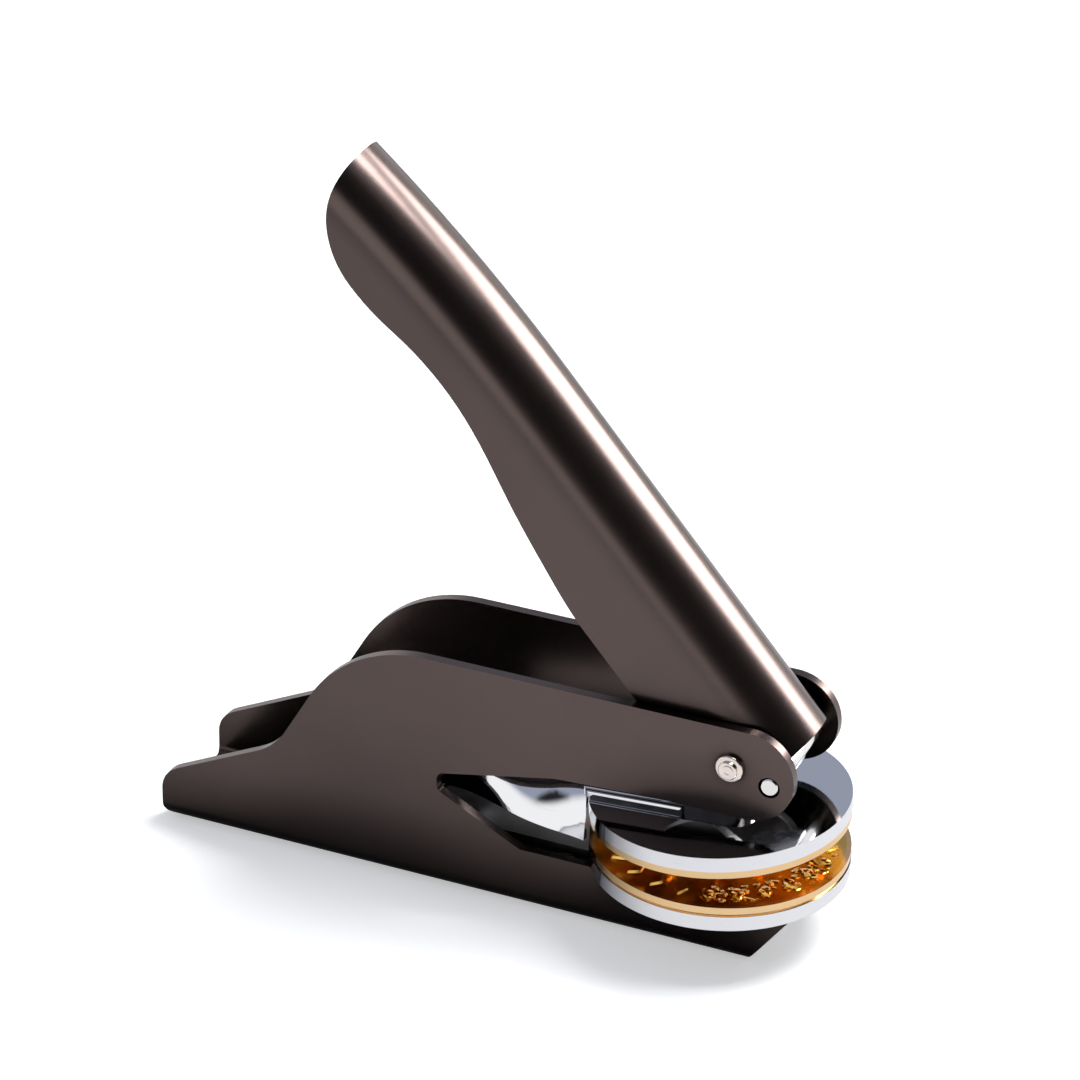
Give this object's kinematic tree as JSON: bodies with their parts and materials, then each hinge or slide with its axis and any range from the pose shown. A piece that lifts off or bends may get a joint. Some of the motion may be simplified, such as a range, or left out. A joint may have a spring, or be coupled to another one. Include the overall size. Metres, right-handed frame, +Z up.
{
  "type": "seal embosser",
  "caption": "Hand-held seal embosser with a long raised lever, a folded metal frame and a hinged pair of round dies.",
  "frame": {"origin": "on the die axis, in the plane the frame rests on", "axes": "+X towards the die end, +Z up, so that the XZ plane is the plane of symmetry"},
  "size_m": [0.1214, 0.044, 0.1282],
  "materials": {
    "gunmetal": "satin gunmetal with a faint bronze tone",
    "chrome": "mirror bright",
    "brass": "bright turned brass",
    "nickel": "satin nickel",
    "steel_pin": "ground steel",
    "tool_steel": "dark oiled steel",
    "spring_steel": "drawn spring steel"
  },
  "bodies": {
    "base": {"frame": "gunmetal", "pivot_rivet": "nickel", "stop_pin": "steel_pin", "handle_spring": "spring_steel", "lower_jaw_arm": "tool_steel", "lower_plate": "chrome", "lower_die": "brass", "lower_rivets": "chrome", "lower_die_screws": "tool_steel", "jaw_hinge_pin": "tool_steel", "jaw_spring": "spring_steel", "spring_rivet": "tool_steel", "clip_posts": "tool_steel", "clip_screws": "tool_steel"},
    "handle": {"handle_shell": "gunmetal", "cam_bracket": "tool_steel", "bracket_rivets": "tool_steel"},
    "upper_jaw": {"upper_jaw_arm": "chrome", "upper_plate": "chrome", "upper_die": "brass", "upper_rivets": "chrome", "upper_die_screws": "tool_steel"}
  },
  "joints": [
    {"name": "handle_hinge", "type": "hinge", "parent": "base", "child": "handle", "pos_m": [0.00525, 0, 0.0369], "axis": [0, -1, 0], "range_deg": [0, 48.5], "stiffness_Nm_per_rad": 0.15, "springref_deg": -22.92, "deforming": ["handle_spring"]},
    {"name": "jaw_hinge", "type": "hinge", "parent": "base", "child": "upper_jaw", "pos_m": [-0.07, 0, 0.016], "axis": [0, 1, 0], "range_deg": [0, 3.68], "stiffness_Nm_per_rad": 3, "springref_deg": -2.86, "deforming": ["jaw_spring"]}
  ],
  "couplings": [
    {"joint": "jaw_hinge", "follows": "handle_hinge", "ratio": 0.075876}
  ]
}
